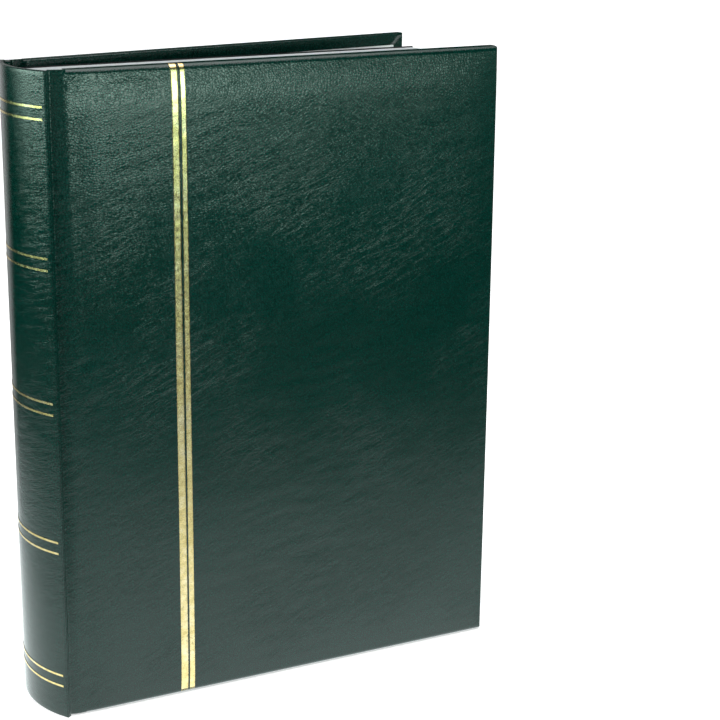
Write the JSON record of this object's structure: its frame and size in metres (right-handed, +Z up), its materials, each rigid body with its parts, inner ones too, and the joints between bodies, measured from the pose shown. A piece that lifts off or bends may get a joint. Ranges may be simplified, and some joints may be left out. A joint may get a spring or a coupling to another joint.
{
  "type": "stamp album",
  "caption": "Upright padded stamp album: leatherette case with rounded spine and gold rules, holding sewn gatherings of white card leaves with clear strips.",
  "frame": {"origin": "middle of the bounding box, on the surface the album stands on", "axes": "+Z up along the spine, the front cover faces -Y, the spine faces -X"},
  "size_m": [0.2387, 0.0834, 0.3051],
  "materials": {
    "green_leatherette": "satin, fine leather grain",
    "foam_padding": "matte",
    "grey_board": "matte",
    "white_paper": "matte",
    "dark_paper": "matte",
    "linen": "matte",
    "gold_foil": "worn metallic foil",
    "white_card": "matte",
    "clear_film": "clear gloss",
    "glassine": "translucent satin",
    "green_stamp_paper": "printed, semi-gloss",
    "blue_stamp_paper": "printed, semi-gloss"
  },
  "bodies": {
    "block": {"leaves_8": "white_card", "strips_8": "clear_film", "interleaves_8": "glassine", "linen_8": "linen", "rear_flyleaf": "dark_paper"},
    "gathering_7": {"leaves_7": "white_card", "strips_7": "clear_film", "interleaves_7": "glassine", "linen_7": "linen"},
    "gathering_6": {"leaves_6": "white_card", "strips_6": "clear_film", "interleaves_6": "glassine", "linen_6": "linen"},
    "gathering_5": {"leaves_5": "white_card", "strips_5": "clear_film", "interleaves_5": "glassine", "linen_5": "linen", "landscape_stamps": "green_stamp_paper", "portrait_stamps": "blue_stamp_paper"},
    "gathering_4": {"leaves_4": "white_card", "strips_4": "clear_film", "interleaves_4": "glassine", "linen_4": "linen"},
    "gathering_3": {"leaves_3": "white_card", "strips_3": "clear_film", "interleaves_3": "glassine", "linen_3": "linen"},
    "gathering_2": {"leaves_2": "white_card", "strips_2": "clear_film", "interleaves_2": "glassine", "linen_2": "linen"},
    "gathering_1": {"leaves_1": "white_card", "strips_1": "clear_film", "interleaves_1": "glassine", "linen_1": "linen", "front_flyleaf": "white_paper"},
    "spine": {"spine_leatherette": "green_leatherette", "spine_board": "grey_board", "spine_lining": "linen", "spine_gold_rules": "gold_foil", "front_joint_spine_side": "green_leatherette", "back_joint_spine_side": "green_leatherette"},
    "front_cover": {"front_leatherette": "green_leatherette", "front_padding": "foam_padding", "front_board": "grey_board", "front_endpaper": "white_paper", "front_gold_rules": "gold_foil", "front_joint_cover_side": "green_leatherette"},
    "back_cover": {"back_leatherette": "green_leatherette", "back_padding": "foam_padding", "back_board": "grey_board", "back_endpaper": "white_paper", "back_joint_cover_side": "green_leatherette"}
  },
  "joints": [
    {"name": "back_cover_open", "type": "hinge", "parent": "block", "child": "back_cover", "pos_m": [-0.10939, 0.00757, 0.1525], "axis": [0, 0, 1], "range_deg": [-8, 39]},
    {"name": "spine_swing", "type": "hinge", "parent": "block", "child": "spine", "pos_m": [-0.10939, 0.00757, 0.1525], "axis": [0, 0, -1], "range_deg": [0, 90]},
    {"name": "front_cover_open", "type": "hinge", "parent": "spine", "child": "front_cover", "pos_m": [-0.10564, -0.03795, 0.1525], "axis": [0, 0, -1], "range_deg": [0, 90]},
    {"name": "gathering_7_turn", "type": "hinge", "parent": "block", "child": "gathering_7", "pos_m": [-0.10649, -0.00062, 0.1525], "axis": [0, 0, -1], "range_deg": [0, 2]},
    {"name": "gathering_6_turn", "type": "hinge", "parent": "gathering_7", "child": "gathering_6", "pos_m": [-0.10649, -0.00546, 0.1525], "axis": [0, 0, -1], "range_deg": [0, 2]},
    {"name": "gathering_5_turn", "type": "hinge", "parent": "gathering_6", "child": "gathering_5", "pos_m": [-0.10649, -0.0103, 0.1525], "axis": [0, 0, -1], "range_deg": [0, 2]},
    {"name": "gathering_4_turn", "type": "hinge", "parent": "gathering_5", "child": "gathering_4", "pos_m": [-0.10649, -0.01514, 0.1525], "axis": [0, 0, -1], "range_deg": [0, 166]},
    {"name": "gathering_3_turn", "type": "hinge", "parent": "gathering_4", "child": "gathering_3", "pos_m": [-0.10649, -0.01998, 0.1525], "axis": [0, 0, -1], "range_deg": [0, 1]},
    {"name": "gathering_2_turn", "type": "hinge", "parent": "gathering_3", "child": "gathering_2", "pos_m": [-0.10649, -0.02482, 0.1525], "axis": [0, 0, -1], "range_deg": [0, 1]},
    {"name": "gathering_1_turn", "type": "hinge", "parent": "gathering_2", "child": "gathering_1", "pos_m": [-0.10649, -0.02966, 0.1525], "axis": [0, 0, -1], "range_deg": [0, 1]}
  ],
  "couplings": [
    {"joint": "spine_swing", "follows": "front_cover_open", "ratio": 1},
    {"joint": "gathering_7_turn", "follows": "front_cover_open", "ratio": 0.022222},
    {"joint": "gathering_6_turn", "follows": "front_cover_open", "ratio": 0.022222},
    {"joint": "gathering_5_turn", "follows": "front_cover_open", "ratio": 0.022222},
    {"joint": "gathering_4_turn", "follows": "front_cover_open", "ratio": 1.8444},
    {"joint": "gathering_3_turn", "follows": "front_cover_open", "ratio": 0.011111},
    {"joint": "gathering_2_turn", "follows": "front_cover_open", "ratio": 0.011111},
    {"joint": "gathering_1_turn", "follows": "front_cover_open", "ratio": 0.011111}
  ]
}
